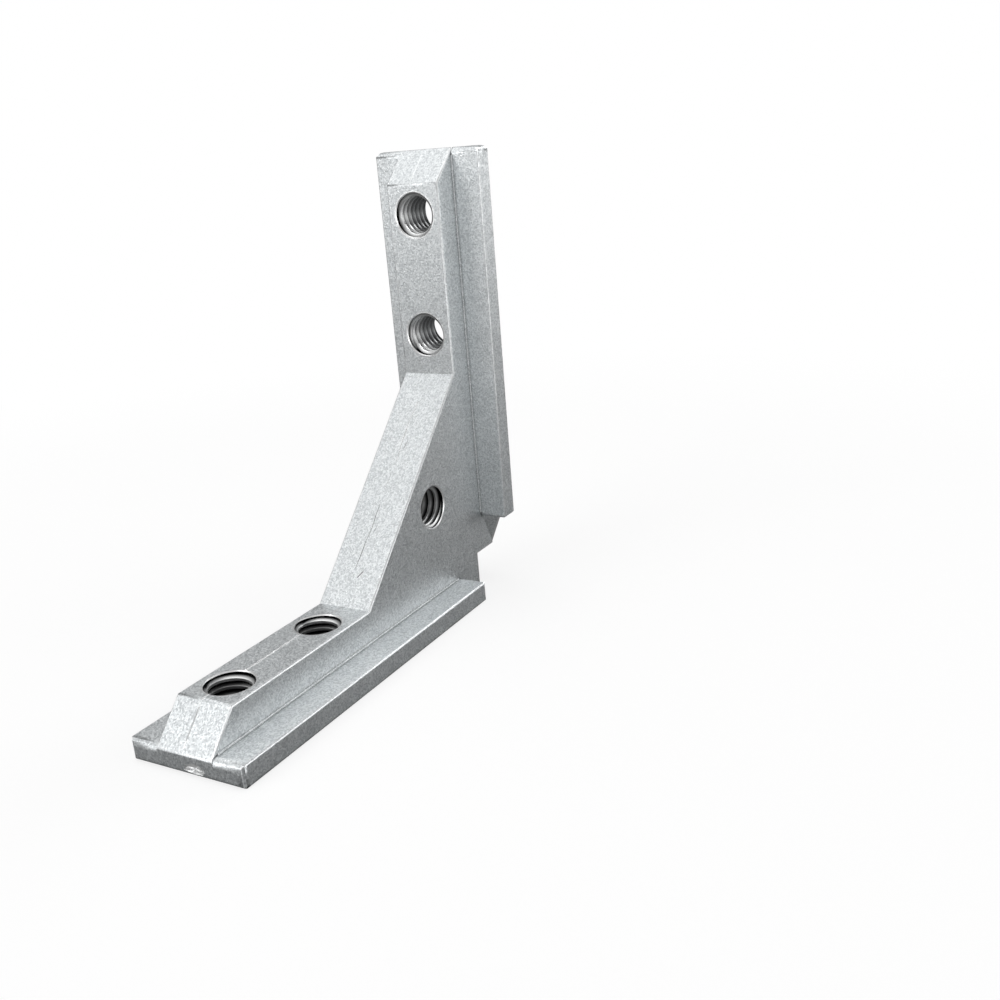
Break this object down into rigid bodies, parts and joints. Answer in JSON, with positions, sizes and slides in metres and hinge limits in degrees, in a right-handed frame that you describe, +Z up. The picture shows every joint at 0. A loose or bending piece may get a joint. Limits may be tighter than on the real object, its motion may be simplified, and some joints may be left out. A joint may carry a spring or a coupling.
{
  "type": "corner bracket",
  "caption": "One-piece cast right-angle bracket whose flanged legs slide inside the slots of two bars, with a gusset and threaded holes for set screws.",
  "frame": {"origin": "under the middle of the bracket's length, on the face that it stands on and in its plane of symmetry", "axes": "+X from the heel towards the foot's toe, +Z up the upright, Y across the flanges"},
  "size_m": [0.062, 0.0164, 0.062],
  "materials": {
    "cast_metal": "shot-blasted die casting, matte with a fine speckle"
  },
  "bodies": {
    "root": {"bracket": "cast_metal"}
  },
  "joints": []
}
